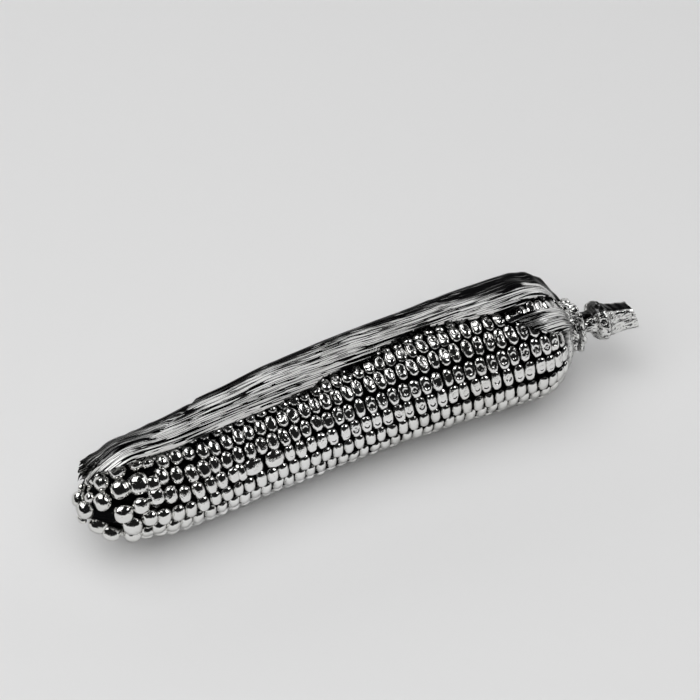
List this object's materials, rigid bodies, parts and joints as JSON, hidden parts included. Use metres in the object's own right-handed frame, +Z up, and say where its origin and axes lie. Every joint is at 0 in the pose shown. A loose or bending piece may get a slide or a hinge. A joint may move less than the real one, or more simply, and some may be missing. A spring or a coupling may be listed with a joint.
{
  "type": "corn cob",
  "caption": "Ear of corn with part of its husk and a cut stalk, in mirror-polished silver-coloured metal, lying on its side.",
  "frame": {"origin": "middle of the ear's footprint, on the surface that it lies on", "axes": "+X from the tip towards the cut stalk, +Y towards the side that the husk covers, +Z up"},
  "size_m": [0.2408, 0.0546, 0.0504],
  "materials": {
    "kernels": "mirror-polished silver-coloured plating, darkened in the grooves between kernels",
    "recess": "blackened metal between and behind the kernels",
    "husk": "bright silver-coloured metal with fine darkened veins along the leaf",
    "stalk": "bright silver-coloured metal with darkened fibres and pits"
  },
  "bodies": {
    "root": {"cob": "recess", "tip_kernels": "kernels", "kernel_row_01": "kernels", "kernel_row_02": "kernels", "kernel_row_03": "kernels", "kernel_row_04": "kernels", "kernel_row_05": "kernels", "kernel_row_06": "kernels", "kernel_row_07": "kernels", "kernel_row_08": "kernels", "kernel_row_09": "kernels", "kernel_row_10": "kernels", "kernel_row_11": "kernels", "kernel_row_12": "kernels", "kernel_row_13": "kernels", "kernel_row_14": "kernels", "kernel_row_15": "kernels", "kernel_row_16": "kernels", "kernel_row_17": "kernels", "kernel_row_18": "kernels", "husk_leaf_outer": "husk", "husk_leaf_inner": "husk", "husk_scrap": "husk", "husk_collar": "husk", "stalk": "stalk"}
  },
  "joints": []
}
